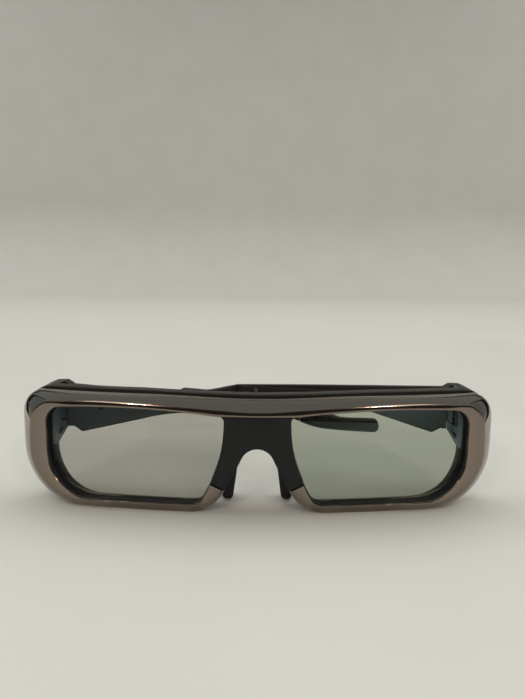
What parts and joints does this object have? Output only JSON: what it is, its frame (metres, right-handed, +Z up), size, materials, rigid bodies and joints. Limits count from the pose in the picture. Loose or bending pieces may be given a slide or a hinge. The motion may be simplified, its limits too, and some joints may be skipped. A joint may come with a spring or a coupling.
{
  "type": "active shutter 3d glasses",
  "caption": "Wrap-around active shutter glasses with a glossy bronze front, smoke shutter lenses, a dark bridge window and folding temples.",
  "frame": {"origin": "on the table under the middle of the folded glasses' box", "axes": "+Z up from the table, +X to the wearer's left along the front, +Y from the front back to the wearer"},
  "size_m": [0.175, 0.0746, 0.043],
  "materials": {
    "bronze_lacquer": "bronze metallic lacquer under a clear coat",
    "window_black": "satin black moulding that passes infrared",
    "inlay_grey": "polished grey insert",
    "gasket_black": "matt black",
    "shutter_glass": "polished smoke grey liquid crystal cell",
    "frame_dark": "satin dark brown grey",
    "pad_rubber": "matt soft black",
    "board_green": "solder mask",
    "flex_amber": "polyimide film",
    "cell_foil": "pouch foil",
    "steel": "plain",
    "button_black": "satin",
    "light_clear": "clear",
    "temple_blue_grey": "satin moulded",
    "ear_tip_dark": "soft touch"
  },
  "bodies": {
    "frame": {"front_bezel": "bronze_lacquer", "bridge_window": "window_black", "corner_inlay_right": "inlay_grey", "corner_inlay_left": "inlay_grey", "lens_gasket_right": "gasket_black", "lens_gasket_left": "gasket_black", "shutter_front_glass_right": "shutter_glass", "shutter_front_glass_left": "shutter_glass", "shutter_rear_glass_right": "shutter_glass", "shutter_rear_glass_left": "shutter_glass", "rear_frame": "frame_dark", "nose_pad_right": "pad_rubber", "nose_pad_left": "pad_rubber", "ir_receiver": "window_black", "ir_board": "board_green", "flex_cable": "flex_amber", "battery": "cell_foil", "main_board": "board_green", "charge_socket": "steel", "tact_switch": "window_black", "status_light": "light_clear", "frame_screws": "steel", "hinge_pin_right": "steel", "hinge_pin_left": "steel"},
    "right_temple": {"temple_arm_right": "temple_blue_grey", "temple_cover_right": "temple_blue_grey", "temple_screws_right": "steel", "ear_tip_right": "ear_tip_dark"},
    "left_temple": {"temple_arm_left": "temple_blue_grey", "temple_cover_left": "temple_blue_grey", "temple_screws_left": "steel", "ear_tip_left": "ear_tip_dark"},
    "button": {"power_button": "button_black"}
  },
  "joints": [
    {"name": "left_temple_fold", "type": "hinge", "parent": "frame", "child": "left_temple", "pos_m": [0.0785, -0.00932, 0], "axis": [0, 0, -1], "range_deg": [0, 69]},
    {"name": "right_temple_fold", "type": "hinge", "parent": "frame", "child": "right_temple", "pos_m": [-0.0785, -0.00932, 0], "axis": [0, 0, 1], "range_deg": [0, 94]},
    {"name": "power_press", "type": "slide", "parent": "frame", "child": "button", "axis": [0, 0, 1], "range_m": [0, 0.0005], "stiffness_N_per_m": 600}
  ],
  "couplings": [
    {"joint": "right_temple_fold", "follows": "left_temple_fold", "ratio": 1.3623}
  ]
}
